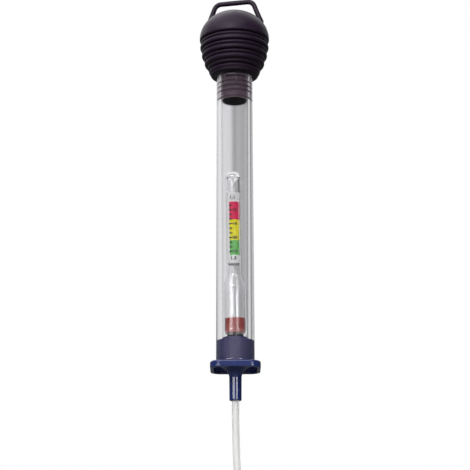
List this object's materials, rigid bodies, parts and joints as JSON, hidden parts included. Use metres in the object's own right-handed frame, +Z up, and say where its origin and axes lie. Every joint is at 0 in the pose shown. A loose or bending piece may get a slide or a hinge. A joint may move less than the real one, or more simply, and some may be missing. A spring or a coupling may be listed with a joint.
{
  "type": "battery acid tester",
  "caption": "Hydrometer syringe for battery acid: a squeeze bulb draws acid up a clear barrel, where a weighted glass float with a coloured scale reads its density.",
  "frame": {"origin": "the inner crown of the hanging loop, where a hook holds it", "axes": "+Z up along the barrel's axis, away from the suction tube; the picture looks along +Y from slightly below, with +X to its right"},
  "size_m": [0.049, 0.049, 0.3316],
  "materials": {
    "rubber": "matt black moulded rubber with a faint purple cast",
    "clear_barrel": "clear polished tube with a thick wall",
    "blue_moulding": "glossy dark blue moulding",
    "milky_tube": "soft whitish translucent tube",
    "float_glass": "clear blown glass",
    "scale_paper": "printed paper with a red, a yellow and a green field",
    "red_wax": "brick red sealing wax",
    "lead": "dull grey lead"
  },
  "bodies": {
    "bulb": {"bulb_dome": "rubber", "hanging_loop": "rubber", "bulb_bellows": "rubber"},
    "barrel": {"bulb_neck": "rubber", "barrel": "clear_barrel", "foot": "blue_moulding", "suction_tube": "milky_tube"},
    "float": {"float_glass": "float_glass", "float_stem_tip": "float_glass", "scale_paper": "scale_paper", "sealing_wax": "red_wax", "lead_shot_01": "lead", "lead_shot_02": "lead", "lead_shot_03": "lead", "lead_shot_04": "lead", "lead_shot_05": "lead", "lead_shot_06": "lead", "lead_shot_07": "lead", "lead_shot_08": "lead", "lead_shot_09": "lead", "lead_shot_10": "lead", "lead_shot_11": "lead", "lead_shot_12": "lead", "lead_shot_13": "lead"}
  },
  "joints": [
    {"name": "bulb_squeeze", "type": "slide", "parent": "bulb", "child": "barrel", "axis": [0, 0, 1], "range_m": [0, 0.012], "stiffness_N_per_m": 400, "deforming": ["bulb_bellows"]},
    {"name": "float_rise", "type": "slide", "parent": "barrel", "child": "float", "axis": [0, 0, 1], "range_m": [0, 0.051]}
  ]
}
